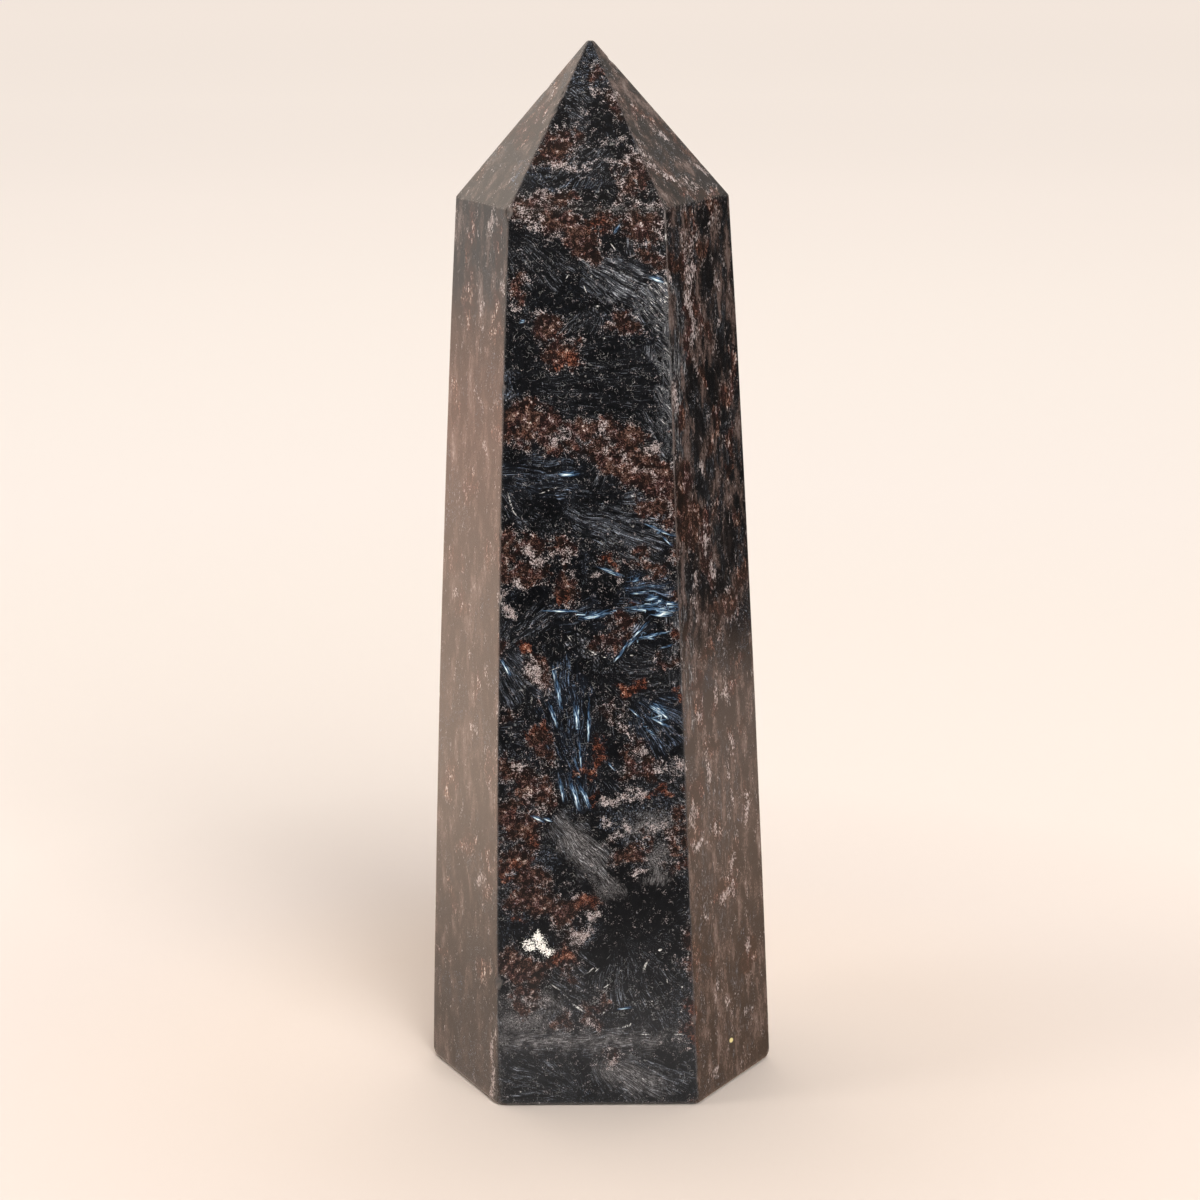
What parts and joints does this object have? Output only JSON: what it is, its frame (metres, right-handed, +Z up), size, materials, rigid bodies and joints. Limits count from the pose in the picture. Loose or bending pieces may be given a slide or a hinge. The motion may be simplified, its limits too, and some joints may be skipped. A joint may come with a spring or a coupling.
{
  "type": "polished stone tower",
  "caption": "Polished dark stone point tower: a tapered six-sided column with a faceted tip and a flat sawn base, for standing on a shelf or desk.",
  "frame": {"origin": "middle of the footprint's bounding box, on the surface that the stone stands on", "axes": "+Z up along the column to the tip, -Y out of the widest front face, +X to the right of a viewer facing it"},
  "size_m": [0.0414, 0.0326, 0.1241],
  "materials": {
    "polished_stone": "polished"
  },
  "bodies": {
    "root": {"tower": "polished_stone"}
  },
  "joints": []
}
